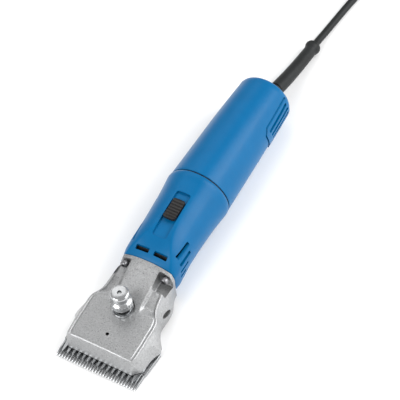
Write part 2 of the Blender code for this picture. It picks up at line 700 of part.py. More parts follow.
def tooth_row(count, pitch, root_y, tip_y, root_half, tip_half):
    """Tapered teeth across the front, listed from right to left, with a gullet after each."""
    points = []
    for k in range(count):
        x = pitch * ((count - 1) / 2 - k)
        points += [(x + root_half, root_y), (x + tip_half, tip_y),
                   (x - tip_half, tip_y), (x - root_half, root_y)]
        if k < count - 1:
            points.append((x - pitch / 2, root_y + (pitch / 2 - root_half) * 1.2))
    return points


def build_comb():
    teeth = tooth_row(COMB_TEETH, COMB_PITCH, -139.5, TIP_Y, 0.78, 0.42)
    edge = [(-39.5, -138.0), (-41.2, -124.0), (-41.6, -116.0), (-38.0, -109.0), (-31.0, -99.0),
            (-27.0, -96.5), (27.0, -96.5), (31.0, -99.0), (38.0, -109.0), (41.6, -116.0),
            (41.2, -124.0), (39.5, -138.0)]
    comb = plate("comb", [teeth + edge], 0.0, COMB_TOP_Z, STEEL)
    # The wedge's own axes (y, z) stand in the plate's x and y, so the plate is turned upright
    wedge = plate("tip_wedge", [[(-149.0, 4.4), (-158.0, 0.6), (-158.0, 8.0), (-149.0, 8.0)]], -50, 50)
    wedge.rotation_euler = (math.pi / 2, 0, math.pi / 2)
    boolean(comb, wedge)
    for side, hand in ((-1, "left"), (1, "right")):
        place = (side * 22.0, -101.0, 0)
        boolean(comb, turned("comb_screw_hole", [(0, 5), (2.6, 5), (2.6, 2.4), (5.0, 0.8),
                                                 (5.0, -2), (0, -2)], None, place))
        outline = [(0, 12.0), (2.1, 12.0), (2.1, 2.4), (4.1, 1.1), (4.1, 0.6), (1.5, 0.6),
                   (1.5, 1.8), (0, 1.8)]
        turned("comb_screw_" + hand, outline, DARK_STEEL, place, "Z", 24)


def build_cutter():
    teeth = tooth_row(CUTTER_TEETH, COMB_PITCH * 2, -140.5, -150.4, 1.9, 0.7)
    edge = [(-37.2, -137.0), (-36.6, -124.0), (-33.0, -116.5), (-26.0, -114.0), (26.0, -114.0),
            (33.0, -116.5), (36.6, -124.0), (37.2, -137.0)]
    cutter = plate("cutter", [teeth + edge], CUTTER_Z[0], CUTTER_Z[1], STEEL)
    for side in (-1, 1):
        boolean(cutter, turned("pin_hole", rod_outline(2.4, 0, 10), None,
                               (side * LEVER_PIN_X, LEVER_PIN_Y, 0), "Z", 14))


# ---------------------------------------------------------------- cord

def smooth_route(points, step):
    """Points read from a smooth curve through the route, about a step apart."""
    route = [Vector(point) for point in points]
    route = [route[0] * 2 - route[1]] + route + [route[-1] * 2 - route[-2]]
    smooth = []
    for i in range(1, len(route) - 2):
        before, low, high, after = route[i - 1:i + 3]
        count = max(1, round((high - low).length / step))
        for k in range(count):
            t = k / count
            smooth.append(0.5 * ((2 * low) + (high - before) * t
                                 + (2 * before - 5 * low + 4 * high - after) * t**2
                                 + (3 * low - before - 3 * high + after) * t**3))
    return [tuple(point) for point in smooth + [route[-2]]]


def build_cord():
    gland = [(0, 170.0), (8.0, 170.0), (8.0, 156.4), (9.6, 155.7), (0, 155.7)]
    turned("cord_gland", gland, BLACK, (1.0, 0, 18.6), "Y", 16)
    sleeve_radii = [6.9, 6.7, 6.5, 6.3, 6.1, 6.0, 7.1, 7.1]
    tube("strain_relief", SLEEVE_ROUTE, sleeve_radii, RUBBER, 3)
    route = smooth_route(CORD_ROUTE, 16.0)
    tube("mains_cord", route, [CORD_RADIUS] * len(route), RUBBER, 2)
    x, y = COIL_CENTRE
    corner = 4.0
    outline = [(COIL_OUTER - corner, COIL_HIGH), (COIL_OUTER, COIL_HIGH - corner),
               (COIL_OUTER, COIL_LOW + corner), (COIL_OUTER - corner, COIL_LOW),
               (COIL_INNER + corner, COIL_LOW), (COIL_INNER, COIL_LOW + corner),
               (COIL_INNER, COIL_HIGH - corner), (COIL_INNER + corner, COIL_HIGH)]
    turned("cord_coil", outline, RUBBER, (x, y, 0), "Z", 28)
    build_tie(x, y)
    build_plug(x, y)


def build_tie(x, y):
    """A flat strap round the coil's bundle, on the side where the cord comes in."""
    middle = (COIL_INNER + COIL_OUTER) / 2
    inside = (COIL_OUTER - COIL_INNER) / 2 + 3 * GAP
    outside = inside + 1.0
    outer = [(-outside, 0.0), (outside, 0.0), (outside, COIL_HIGH + 1.4), (-outside, COIL_HIGH + 1.4)]
    inner = [(-inside, COIL_LOW - GAP), (inside, COIL_LOW - GAP),
             (inside, COIL_HIGH + GAP), (-inside, COIL_HIGH + GAP)]
    strap = plate("cord_tie", [outer, inner], -5.0, 5.0, BLACK, "Y")
    strap.location = ((x + middle) * MM, y * MM, 0)


def build_plug(x, y):
    """A two-pin mains plug lying on top of the coil, with its pins towards -X."""
    low = COIL_HIGH + GAP
    start = x + 12.0
    middle = y + 38.0
    half = [(0, 8.0), (5.0, 13.0), (14.0, 17.4), (34.0, 17.4)]
    outline = [(start - along, middle + across) for along, across in half]
    outline += [(start - along, middle - across) for along, across in reversed(half)]
    plate("mains_plug", [outline], low, low + 14.0, BLACK)
    for side, hand in ((-1, "left"), (1, "right")):
        turned("plug_pin_" + hand, rod_outline(2.4, -53.3, -34.3, 0.6), BRASS,
               (start, middle + side * 9.5, low + 7.0), "X", 16)


# ---------------------------------------------------------------- assembly

def build_all():
    build_front_housing()
    build_rear_housing()
    build_vent_cover(1, "vent_cover_right")
    build_vent_cover(-1, "vent_cover_left")
    build_seam_ring()
    build_switch()
    inner = WALL + 0.6
    bulkhead("gear_bulkhead_front", front_ring(-51.0, inner + 0.8), -49.6, -43.6,
             [(6.5, 0, CRANK_Z)], GREY)
    motor_holes = [(6.6, 0, MOTOR_Z), (5.2, 0, CRANK_Z)]
    bulkhead("motor_bulkhead", front_ring(8.0, inner + 1.5), 20.2, 25.6, motor_holes, GREY)
    bulkhead("rear_bulkhead", rear_ring(140.0, inner + 0.4), 131.2, 137.6,
             [(8.3, 0, MOTOR_Z), (2.6, 12, 14), (2.6, -12, 14)], GREY)
    build_motor()
    build_gears()
    build_head_casting()
    build_head_screws()
    build_tension_set()
    build_lever()
    build_comb()
    build_cutter()
    build_cord()


clear_scene()
PARTS = collection("sheep_shears")
CUTTERS = collection("cutters")
build_all()
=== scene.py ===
"""Looks for the corded sheep shears: camera, cord, shells, head, cutting set and finishes."""
import json
import math

import bmesh
import bpy
from mathutils import Matrix, Vector


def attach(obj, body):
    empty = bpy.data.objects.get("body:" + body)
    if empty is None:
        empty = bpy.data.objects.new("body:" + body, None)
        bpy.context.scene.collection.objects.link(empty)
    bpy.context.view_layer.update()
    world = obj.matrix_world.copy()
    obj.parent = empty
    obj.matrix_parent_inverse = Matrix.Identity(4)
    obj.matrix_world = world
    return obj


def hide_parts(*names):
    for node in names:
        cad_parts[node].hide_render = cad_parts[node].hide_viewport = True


# The object's lengths are in millimetres, and MM turns them into metres. The comb's teeth point
# along -Y and the switch faces +Z. The camera, the lights and the finishes are in metres.
MM = 0.001
PIVOT_Y = -103.0
WALL = 2.4
TAIL_Y = 155.3
TAIL_ROUND = 4.4
VENT_GAP = 0.85
HEAD_SCREW_X, HEAD_SCREW_Z = 19.8, 33.0
CHANNEL_DEPTH = 2.7
GROOVE_DEPTH = 0.45
FRONT_EDGE_ROUND = 1.9
COMB_SCREW = (22.0, -101.0)
COMB_TEETH = 31
COMB_PITCH = 2.57
COMB_THICKNESS = 3.6

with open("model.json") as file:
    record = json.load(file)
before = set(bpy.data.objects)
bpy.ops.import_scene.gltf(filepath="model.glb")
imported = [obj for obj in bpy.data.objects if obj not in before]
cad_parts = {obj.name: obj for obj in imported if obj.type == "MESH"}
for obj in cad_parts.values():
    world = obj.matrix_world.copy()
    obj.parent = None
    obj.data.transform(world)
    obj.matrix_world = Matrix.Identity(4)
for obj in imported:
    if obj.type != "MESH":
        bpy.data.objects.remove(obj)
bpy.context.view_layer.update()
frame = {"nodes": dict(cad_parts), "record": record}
nodes = frame["nodes"]
scene = bpy.context.scene


# ---------------------------------------------------------------- camera, light and floor

def make_camera():
    """A long lens, high and to the right of the comb end."""
    turn, tilt, roll = math.radians(35.4), math.radians(54.42), math.radians(7.57)
    right0 = Vector((math.cos(turn), math.sin(turn), 0))
    up0 = Vector((-math.sin(turn) * math.sin(tilt), math.cos(turn) * math.sin(tilt), math.cos(tilt)))
    back = Vector((math.sin(turn) * math.cos(tilt), -math.cos(turn) * math.cos(tilt), math.sin(tilt)))
    right = right0 * math.cos(roll) - up0 * math.sin(roll)
    up = right0 * math.sin(roll) + up0 * math.cos(roll)
    data = bpy.data.cameras.new("camera")
    data.lens = 148.5
    data.sensor_width = 36
    data.clip_start = 0.05
    data.clip_end = 20
    camera = bpy.data.objects.new("camera", data)
    scene.collection.objects.link(camera)
    axes = Matrix((right, up, back)).transposed().to_4x4()
    camera.matrix_world = Matrix.Translation((0.4921, -0.6634, 1.2069)) @ axes
    scene.camera = camera


def area_light(name, place, target, width, height, power):
    data = bpy.data.lights.new(name, "AREA")
    data.shape = "RECTANGLE"
    data.size = width
    data.size_y = height
    data.energy = power
    lamp = bpy.data.objects.new(name, data)
    scene.collection.objects.link(lamp)
    lamp.location = place
    lamp.rotation_euler = (Vector(target) - Vector(place)).to_track_quat("-Z", "Y").to_euler()


def make_studio():
    world = bpy.data.worlds.new("studio")
    world.use_nodes = True
    sky = world.node_tree.nodes["Background"]
    sky.inputs["Color"].default_value = (1.0, 1.0, 1.0, 1)
    sky.inputs["Strength"].default_value = 0.52
    scene.world = world
    area_light("key", (-0.40, -1.00, 0.98), (0, -0.08, 0), 0.8, 0.8, 11.2)
    area_light("side", (1.05, 0.55, 0.42), (0, 0.02, 0.03), 1.5, 0.8, 6.0)
    area_light("rim", (0.82, 0.62, 1.0), (0, 0.0, 0.03), 0.9, 0.9, 13.0)
    area_light("sky", (-0.70, 0.68, 1.2), (0, -0.05, 0.03), 1.1, 1.1, 3.4)
    bm = bmesh.new()
    bmesh.ops.create_grid(bm, x_segments=2, y_segments=2, size=3.0)
    mesh = bpy.data.meshes.new("floor")
    bm.to_mesh(mesh)
    bm.free()
    floor = bpy.data.objects.new("floor", mesh)
    scene.collection.objects.link(floor)
    floor.location = (0, 0, -0.0002)
    floor.data.materials.append(plain_floor())
    scene.view_settings.view_transform = "Standard"


def plain_floor():
    made = bpy.data.materials.new("floor")
    made.use_nodes = True
    shader = made.node_tree.nodes["Principled BSDF"]
    shader.inputs["Base Color"].default_value = (0.97, 0.97, 0.97, 1)
    shader.inputs["Roughness"].default_value = 0.9
    shader.inputs["Specular IOR Level"].default_value = 0.1
    return made


# ---------------------------------------------------------------- finishes

def finish(name, dark, light, roughness, metallic=0.0, grain=900.0, bump=0.1, depth=0.0001,
           stretch=(1, 1, 1), detail=4.0, spread=0.06, specular=0.5, slow=0.06, painted_shade=0.0):
    """A finish whose colour, gloss and relief all vary with a fine grain.

    dark and light are the two ends of the colour's slow variation, grain is in cells per metre,
    stretch draws the grain out along the axes where it is small, as brushing does, and the last
    argument is painted shade: how far the colour is darkened in hollows, where shade falls.
    """
    made = bpy.data.materials.new(name)
    made.use_nodes = True
    tree = made.node_tree
    shader = tree.nodes["Principled BSDF"]
    shader.inputs["Metallic"].default_value = metallic
    shader.inputs["Specular IOR Level"].default_value = specular
    place = tree.nodes.new("ShaderNodeTexCoord")
    scaled = tree.nodes.new("ShaderNodeMapping")
    scaled.inputs["Scale"].default_value = stretch
    tree.links.new(place.outputs["Object"], scaled.inputs["Vector"])
    fine = tree.nodes.new("ShaderNodeTexNoise")
    fine.inputs["Scale"].default_value = grain
    fine.inputs["Detail"].default_value = detail
    fine.inputs["Roughness"].default_value = 0.6
    tree.links.new(scaled.outputs["Vector"], fine.inputs["Vector"])
    broad = tree.nodes.new("ShaderNodeTexNoise")
    broad.inputs["Scale"].default_value = grain * slow
    broad.inputs["Detail"].default_value = 3.0
    tree.links.new(scaled.outputs["Vector"], broad.inputs["Vector"])
    both = tree.nodes.new("ShaderNodeMath")
    both.operation = "MULTIPLY_ADD"
    both.inputs[1].default_value = 0.5
    tree.links.new(fine.outputs["Fac"], both.inputs[0])
    halved = tree.nodes.new("ShaderNodeMath")
    halved.operation = "MULTIPLY"
    halved.inputs[1].default_value = 0.5
    tree.links.new(broad.outputs["Fac"], halved.inputs[0])
    tree.links.new(halved.outputs[0], both.inputs[2])
    tone = tree.nodes.new("ShaderNodeValToRGB")
    tone.color_ramp.elements[0].position = 0.34
    tone.color_ramp.elements[0].color = (*dark, 1)
    tone.color_ramp.elements[1].position = 0.66
    tone.color_ramp.elements[1].color = (*light, 1)
    tree.links.new(both.outputs[0], tone.inputs["Fac"])
    # Painted shade: the colour is darkened in hollows, where shade falls.
    if painted_shade:
        add_painted_shade(tree, tone, shader, painted_shade)
    else:
        tree.links.new(tone.outputs["Color"], shader.inputs["Base Color"])
    gloss = tree.nodes.new("ShaderNodeMapRange")
    gloss.inputs["From Min"].default_value = 0.3
    gloss.inputs["From Max"].default_value = 0.7
    gloss.inputs["To Min"].default_value = max(0.02, roughness - spread)
    gloss.inputs["To Max"].default_value = roughness + spread
    tree.links.new(both.outputs[0], gloss.inputs["Value"])
    tree.links.new(gloss.outputs["Result"], shader.inputs["Roughness"])
    relief = tree.nodes.new("ShaderNodeBump")
    relief.inputs["Strength"].default_value = bump
    relief.inputs["Distance"].default_value = depth
    tree.links.new(fine.outputs["Fac"], relief.inputs["Height"])
    tree.links.new(relief.outputs["Normal"], shader.inputs["Normal"])
    return made


def add_painted_shade(tree, tone, shader, painted_shade):
    """Paints shade into the colour: darkens it where the surface is closed in, where shade falls."""
    hollows = tree.nodes.new("ShaderNodeAmbientOcclusion")
    hollows.samples = 16
    hollows.inputs["Distance"].default_value = 0.006
    shade_factor = tree.nodes.new("ShaderNodeMapRange")
    shade_factor.inputs["From Min"].default_value = 0.20
    shade_factor.inputs["From Max"].default_value = 0.60
    shade_factor.inputs["To Min"].default_value = 1.0 - painted_shade
    shade_factor.inputs["To Max"].default_value = 1.0
    tree.links.new(hollows.outputs["AO"], shade_factor.inputs["Value"])
    shaded_colour = tree.nodes.new("ShaderNodeVectorMath")
    shaded_colour.operation = "SCALE"
    tree.links.new(tone.outputs["Color"], shaded_colour.inputs[0])
    tree.links.new(shade_factor.outputs["Result"], shaded_colour.inputs["Scale"])
    tree.links.new(shaded_colour.outputs["Vector"], shader.inputs["Base Color"])


def make_finishes():
    return {
        "blue_shell": finish("blue_moulding", (0.0, 0.113, 0.285), (0.0, 0.126, 0.313), 0.32,
                             grain=1500, bump=0.08, spread=0.03, specular=0.17),
        "black_plastic": finish("black_moulding", (0.008, 0.0078, 0.0078), (0.018, 0.0165, 0.0165), 0.50,
                                grain=1800, bump=0.25, spread=0.05, specular=0.3),
        "cord_rubber": finish("cord_jacket", (0.008, 0.009, 0.009), (0.019, 0.021, 0.022), 0.48,
                              grain=1200, bump=0.2, spread=0.05, specular=0.25),
        # The aluminium's colour gets painted shade in its pockets, channels and edge groove.
        "cast_aluminium": finish("tumbled_aluminium", (0.305, 0.309, 0.314), (0.51, 0.515, 0.52), 0.32,
                                 0.88, grain=1700, bump=0.8, depth=0.0003, spread=0.08, detail=2.5,
                                 slow=0.45, painted_shade=0.80),
        # The chrome's colour gets painted shade at the knob's waist and in its hollows.
        "chromed_steel": finish("polished_chrome", (0.47, 0.48, 0.49), (0.62, 0.63, 0.64), 0.20, 1.0,
                                grain=600, bump=0.04, spread=0.04, painted_shade=0.9),
        "ground_steel": finish("ground_steel", (0.31, 0.32, 0.33), (0.48, 0.49, 0.50), 0.28, 1.0,
                               grain=2400, bump=0.15, stretch=(1, 0.08, 1), spread=0.07),
        "dark_steel": finish("blackened_steel", (0.17, 0.17, 0.18), (0.28, 0.28, 0.29), 0.34, 1.0,
                             grain=2000, bump=0.2, stretch=(1, 3, 1), spread=0.06),
        "copper_winding": finish("lacquered_copper", (0.42, 0.13, 0.04), (0.72, 0.30, 0.12), 0.3, 1.0,
                                 grain=1600, bump=0.5, depth=0.0004, stretch=(1, 0.15, 1)),
        "carbon": finish("pressed_carbon", (0.02, 0.02, 0.02), (0.05, 0.05, 0.05), 0.6,
                         grain=2500, bump=0.3),
        "brass": finish("turned_brass", (0.55, 0.37, 0.11), (0.74, 0.55, 0.22), 0.26, 1.0,
                        grain=1800, bump=0.15, stretch=(1, 4, 1)),
        "grey_nylon": finish("grey_nylon", (0.03, 0.032, 0.035), (0.055, 0.058, 0.06), 0.5,
                             grain=900, bump=0.2),
    }


def dress_cad_nodes():
    """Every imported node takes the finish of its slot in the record."""
    for part in frame["record"]["subparts"]:
        node = nodes[part["node"]]
        node.data.materials.clear()
        node.data.materials.append(FINISHES[part["material_slot"]])


# ---------------------------------------------------------------- mesh tools

def new_object(name, bm, paint=None, smooth=30):
    """An object from a working mesh, smooth except at edges sharper than that many degrees."""
    bmesh.ops.recalc_face_normals(bm, faces=bm.faces)
    mesh = bpy.data.meshes.new(name)
    bm.to_mesh(mesh)
    bm.free()
    mesh.shade_smooth()
    mesh.set_sharp_from_angle(angle=math.radians(smooth))
    made = bpy.data.objects.new(name, mesh)
    scene.collection.objects.link(made)
    if paint:
        made.data.materials.append(FINISHES[paint])
    return made


def loft(name, rings, paint=None, closed=True, smooth=30):
    """A skin through rings of equal length, with end faces where it is closed."""
    bm = bmesh.new()
    rows = [[bm.verts.new(Vector(point) * MM) for point in ring] for ring in rings]
    count = len(rings[0])
    for first, second in zip(rows, rows[1:]):
        for i in range(count):
            j = (i + 1) % count
            bm.faces.new((first[i], first[j], second[j], second[i]))
    if closed:
        bm.faces.new(list(reversed(rows[0])))
        bm.faces.new(rows[-1])
    return new_object(name, bm, paint, smooth)


def rounded_box(name, low, high, radius):
    """A block with every edge and corner rounded."""
    bm = bmesh.new()
    bmesh.ops.create_cube(bm, size=1.0)
    for vert in bm.verts:
        vert.co = Vector([(low[i] + high[i]) / 2 + vert.co[i] * (high[i] - low[i]) for i in range(3)])
        vert.co *= MM
    bmesh.ops.bevel(bm, geom=bm.edges[:] + bm.verts[:], offset=radius * MM, segments=4,
                    profile=0.5, affect="EDGES")
    return new_object(name, bm)


def extruded(name, outline, low, high, axis, paint=None, radius=0.0, corner=0.0):
    """A flat outline pushed out along one axis; corner rounds its corners, radius its rims."""
    spread = {"X": lambda a, b, c: (c, a, b), "Z": lambda a, b, c: (a, b, c)}[axis]
    bm = bmesh.new()
    ends = [[bm.verts.new(Vector(spread(a, b, c)) * MM) for a, b in outline] for c in (low, high)]
    count = len(outline)
    uprights = []
    for i in range(count):
        j = (i + 1) % count
        bm.faces.new((ends[0][i], ends[0][j], ends[1][j], ends[1][i]))
        uprights.append(bm.edges.get((ends[0][i], ends[1][i])))
    bm.faces.new(list(reversed(ends[0])))
    bm.faces.new(ends[1])
    if corner:
        bmesh.ops.bevel(bm, geom=uprights, offset=corner * MM, segments=4, profile=0.5,
                        affect="EDGES")
    made = new_object(name, bm, paint)
    if radius:
        rim = made.modifiers.new("rim", "BEVEL")
        rim.width = radius * MM
        rim.segments = 3
        rim.limit_method = "ANGLE"
        rim.angle_limit = math.radians(50)
        rim.harden_normals = False
    return made


def revolved(name, outline, at, axis="Z", paint=None, steps=64, flutes=None):
    """A turned piece from its (radius, height) outline.

    flutes is (low, high, count, depth): scallops cut round it between two heights.
    """
    bm = bmesh.new()
    rows = []
    for radius, height in outline:
        if radius < 0.001:
            rows.append([bm.verts.new((0, 0, height * MM))])
            continue
        row = []
        for i in range(steps):
            angle = 2 * math.pi * i / steps
            reach = radius
            if flutes and flutes[0] <= height <= flutes[1]:
                reach -= flutes[3] * (0.5 + 0.5 * math.cos(flutes[2] * angle)) ** 2
            row.append(bm.verts.new((reach * math.cos(angle) * MM, reach * math.sin(angle) * MM,
                                     height * MM)))
        rows.append(row)
    pairs = list(zip(rows, rows[1:]))
    if len(rows[0]) > 1 or len(rows[-1]) > 1:
        pairs.append((rows[-1], rows[0]))
    for first, second in pairs:
        for i in range(steps):
            j = (i + 1) % steps
            corners = [first[i % len(first)], first[j % len(first)],
                       second[j % len(second)], second[i % len(second)]]
            unique = list(dict.fromkeys(corners))
            if len(unique) > 2:
                bm.faces.new(unique)
    turn = {"Z": Matrix(), "Y": Matrix.Rotation(-math.pi / 2, 4, "X"),
            "X": Matrix.Rotation(math.pi / 2, 4, "Y")}[axis]
    bmesh.ops.transform(bm, matrix=Matrix.Translation(Vector(at) * MM) @ turn, verts=bm.verts)
    return new_object(name, bm, paint, 38)


def join_meshes(main, *others):
    """Adds the other pieces' bodies to the first as separate closed solids of one piece."""
    bm = bmesh.new()
    for item in (main, *others):
        bpy.context.view_layer.update()
        graph = bpy.context.evaluated_depsgraph_get()
        mesh = bpy.data.meshes.new_from_object(item.evaluated_get(graph))
        mesh.transform(item.matrix_world)
        bm.from_mesh(mesh)
    main.modifiers.clear()
    main.matrix_world = Matrix()
    bm.to_mesh(main.data)
    bm.free()
    main.data.shade_smooth()
    main.data.set_sharp_from_angle(angle=math.radians(35))
    for item in others:
        bpy.data.objects.remove(item, do_unlink=True)
    return main


def cut(target, cutters, operation="DIFFERENCE"):
    """Applies the cutters to the target's mesh and removes them."""
    for cutter in cutters:
        step = target.modifiers.new("cut", "BOOLEAN")
        step.operation = operation
        step.object = cutter
        step.solver = "EXACT"
    settle(target)
    for cutter in cutters:
        bpy.data.objects.remove(cutter, do_unlink=True)
    return target


def settle(item, smooth=30):
    """Applies an object's modifiers to its mesh."""
    bpy.context.view_layer.update()
    graph = bpy.context.evaluated_depsgraph_get()
    mesh = bpy.data.meshes.new_from_object(item.evaluated_get(graph))
    item.modifiers.clear()
    item.data = mesh
    mesh.shade_smooth()
    mesh.set_sharp_from_angle(angle=math.radians(smooth))
    return item


def piece(item, body, slot, *stands_for):
    """Hands a finished piece to its body and hides the nodes that it stands for; slot is not used."""
    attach(item, body)
    if stands_for:
        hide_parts(*stands_for)
    return item


def eased(table, y):
    """Reads a table of (y, values...) rows at one station, along smooth curves."""
    rows = sorted(table)
    if y <= rows[0][0]:
        return list(rows[0][1:])
    if y >= rows[-1][0]:
        return list(rows[-1][1:])
    i = max(k for k in range(len(rows) - 1) if rows[k][0] <= y)
    before, low, high = rows[max(i - 1, 0)], rows[i], rows[i + 1]
    after = rows[min(i + 2, len(rows) - 1)]
    span = high[0] - low[0]
    t = (y - low[0]) / span
    values = []
    for k in range(1, len(low)):
        slope_low = (high[k] - before[k]) / max(high[0] - before[0], 0.001) * span
        slope_high = (after[k] - low[k]) / max(after[0] - low[0], 0.001) * span
        values.append((2 * t**3 - 3 * t**2 + 1) * low[k] + (t**3 - 2 * t**2 + t) * slope_low
                      + (3 * t**2 - 2 * t**3) * high[k] + (t**3 - t**2) * slope_high)
    return values


def step_up(value, low, high):
    """0 below low, 1 above high, and smooth in between."""
    t = min(1.0, max(0.0, (value - low) / (high - low)))
    return t * t * (3 - 2 * t)


def spaced(low, high, step):
    """Even values from low to high, about a step apart."""
    count = max(2, round((high - low) / step) + 1)
    return [low + (high - low) * i / (count - 1) for i in range(count)]


# ---------------------------------------------------------------- cord

# Centre lines: the lead from the sleeve's end to the coil, and the sleeve from the gland
CORD_ROUTE = [
    (4.9, 241.9, 6.9), (5.3, 252.0, 5.7), (6.0, 262.0, 4.7), (7.0, 274.0, 4.0), (8.3, 288.0, 3.7),
    (9.9, 302.0, 3.7), (12.1, 318.0, 3.7), (14.9, 334.0, 3.8), (16.5, 350.0, 4.3),
]
SLEEVE_ROUTE = [
    (1.4, 171.6, 17.3), (2.2, 180.0, 15.9), (3.1, 192.0, 13.9), (3.8, 205.0, 11.9),
    (4.3, 218.0, 10.0), (4.6, 229.0, 8.5), (4.8, 235.0, 7.8), (4.9, 241.5, 7.5),
]
DIAMETER = 7.0
COIL = Vector((-34.5, 366.0, 0))
COIL_LOW = 4.9      # height of the lowest layer's centre line
INNER_LANE = 28.0   # radius of the innermost turn
LANES = 3.35        # turns in each layer
RISE = 0.35         # turns that the climb to the next layer takes


def smooth_route(points, step):
    """Points read from a smooth curve through the route, about a step apart."""
    route = [Vector(point) for point in points]
    route = [route[0] * 2 - route[1]] + route + [route[-1] * 2 - route[-2]]
    smooth = []
    for i in range(1, len(route) - 2):
        before, low, high, after = route[i - 1:i + 3]
        count = max(1, round((high - low).length / step))
        for k in range(count):
            t = k / count
            smooth.append(0.5 * ((2 * low) + (high - before) * t
                                 + (2 * before - 5 * low + 4 * high - after) * t**2
                                 + (3 * low - before - 3 * high + after) * t**3))
    return smooth + [route[-2]]


def coil_place(turn):
    """A point of the wound cord: three flat spirals, in, out and in, with a climb between them."""
    outer = INNER_LANE + DIAMETER * LANES
    layer = 0
    rest = turn
    while rest > LANES + RISE and layer < 2:
        rest -= LANES + RISE
        layer += 1
    along = min(rest, LANES)
    climb = step_up(rest, LANES, LANES + RISE) if layer < 2 else 0.0
    radius = INNER_LANE + DIAMETER * along if layer == 1 else outer - DIAMETER * along
    angle = 2 * math.pi * turn
    height = COIL_LOW + DIAMETER * (layer + climb)
    return COIL + Vector((radius * math.cos(angle), radius * math.sin(angle), height))


def cord_points():
    """The lead's whole centre line: out to the coil, round it, across its top and into the plug."""
    points = smooth_route(CORD_ROUTE + [coil_place(0)], 9.0)[:-1]
    last = 3 * LANES + 2 * RISE
    count = round(last * 20)
    points += [coil_place(last * i / count) for i in range(count + 1)]
    start = 2 * math.pi * last
    meet = math.radians(33.7)
    sweep = (meet - start) % (2 * math.pi)
    for i in range(1, 13):
        t = i / 12
        radius = INNER_LANE + 16.4 * step_up(t, 0, 1)
        height = COIL_LOW + 2 * DIAMETER + 7.6 * step_up(t, 0, 0.95)
        angle = start + sweep * t
        points.append(COIL + Vector((radius * math.cos(angle), radius * math.sin(angle), height)))
    for i in range(1, 6):
        t = i / 5
        angle = meet + (math.pi / 2 - meet) * t
        height = 26.5 + 3.4 * step_up(t, 0, 1)
        points.append(COIL + Vector((12.3 + 30 * math.cos(angle), 8 + 30 * math.sin(angle), height)))
    return points


def tube_curve(name, points, radii, paint, depth=5):
    """A round bar along a centre line, with its own radius at each point."""
    curve = bpy.data.curves.new(name, "CURVE")
    curve.dimensions = "3D"
    curve.bevel_depth = MM
    curve.bevel_resolution = depth
    curve.use_fill_caps = True
    spline = curve.splines.new("POLY")
    spline.points.add(len(points) - 1)
    for point, place, radius in zip(spline.points, points, radii):
        point.co = (*(Vector(place) * MM), 1)
        point.radius = radius
    spline.use_smooth = True
    made = bpy.data.objects.new(name, curve)
    scene.collection.objects.link(made)
    curve.materials.append(FINISHES[paint])
    return made


def make_cord():
    points = cord_points()
    lead = tube_curve("mains_lead", points, [DIAMETER / 2] * len(points), "cord_rubber")
    piece(lead, "handle", "cord_rubber", "mains_cord", "cord_coil")
    sleeve = make_sleeve()
    make_plug()


def make_sleeve():
    """The bend protector: a long taper with a rounded flange where the cord leaves it."""
    line = smooth_route(SLEEVE_ROUTE, 2.0)
    total = sum((b - a).length for a, b in zip(line, line[1:]))
    points, radii, run = [], [], 0.0
    for i, place in enumerate(line):
        if i:
            run += (place - line[i - 1]).length
        left = total - run
        radius = 6.9 - 0.95 * run / total
        if left < 7.4:
            radius = 5.95 + 1.5 * step_up(7.4 - left, 0, 1.6) - 1.1 * step_up(7.4 - left, 5.6, 7.4)
        points.append(place)
        radii.append(radius)
    sleeve = tube_curve("bend_sleeve", points, radii, "cord_rubber", 7)
    return piece(sleeve, "handle", "cord_rubber", "strain_relief")


def make_plug():
    """A flat moulded mains plug with finger grips down both sides."""
    half = [(0, 6.5), (3.0, 9.5), (8.0, 14.2), (14.0, 17.0)]
    for k in range(5):
        half += [(16.0 + 3.2 * k, 17.2), (17.2 + 3.2 * k, 16.5), (18.2 + 3.2 * k, 16.5)]
    half += [(33.0, 17.2), (34.0, 16.4)]
    x, y = COIL.x + 12.0, COIL.y + 38.0
    outline = [(x - a, y + b) for a, b in half] + [(x - a, y - b) for a, b in reversed(half)]
    plug = extruded("plug_body", outline, 22.9, 36.9, "Z", "black_plastic", 1.1)
    settle(plug)
    return piece(plug, "handle", "black_plastic", "mains_plug")


# ---------------------------------------------------------------- housings

# Station y, half width, centre z, barrel height above it, top z, bottom z,
# upper and lower fullness, half width of the flat on top
FRONT_STATIONS = [
    (-59.0, 25.6, 29.5, 16.5, 42.5, 1.6, 2.1, 3.3, 22.8),
    (-53.0, 26.7, 29.8, 18.5, 45.2, 1.3, 2.2, 3.3, 20.0),
    (-45.0, 26.8, 30.0, 21.5, 48.4, 1.4, 2.2, 2.9, 15.5),
    (-33.0, 26.8, 30.0, 24.3, 52.2, 1.8, 2.1, 2.4, 10.5),
    (-20.0, 27.2, 30.0, 25.8, 54.9, 2.0, 2.0, 2.2, 8.5),
    (-8.0, 27.8, 30.0, 27.0, 56.2, 1.9, 2.0, 2.1, 8.0),
    (8.0, 28.7, 30.0, 28.4, 57.8, 1.3, 2.0, 2.0, 8.0),
    (20.0, 29.9, 30.2, 29.8, 59.4, 0.4, 2.0, 2.0, 8.0),
    (25.5, 30.4, 30.5, 30.3, 60.6, 0.1, 2.0, 2.0, 8.0),
    (28.9, 30.0, 30.3, 29.9, 60.1, 0.3, 2.0, 2.0, 8.0),
]
# Station y, radius, centre z
REAR_STATIONS = [
    (30.1, 29.8, 30.1), (60.0, 29.0, 29.1), (100.0, 27.9, 28.0), (130.0, 26.8, 26.9),
    (148.0, 25.9, 26.1), (TAIL_Y, 25.4, 25.9),
]


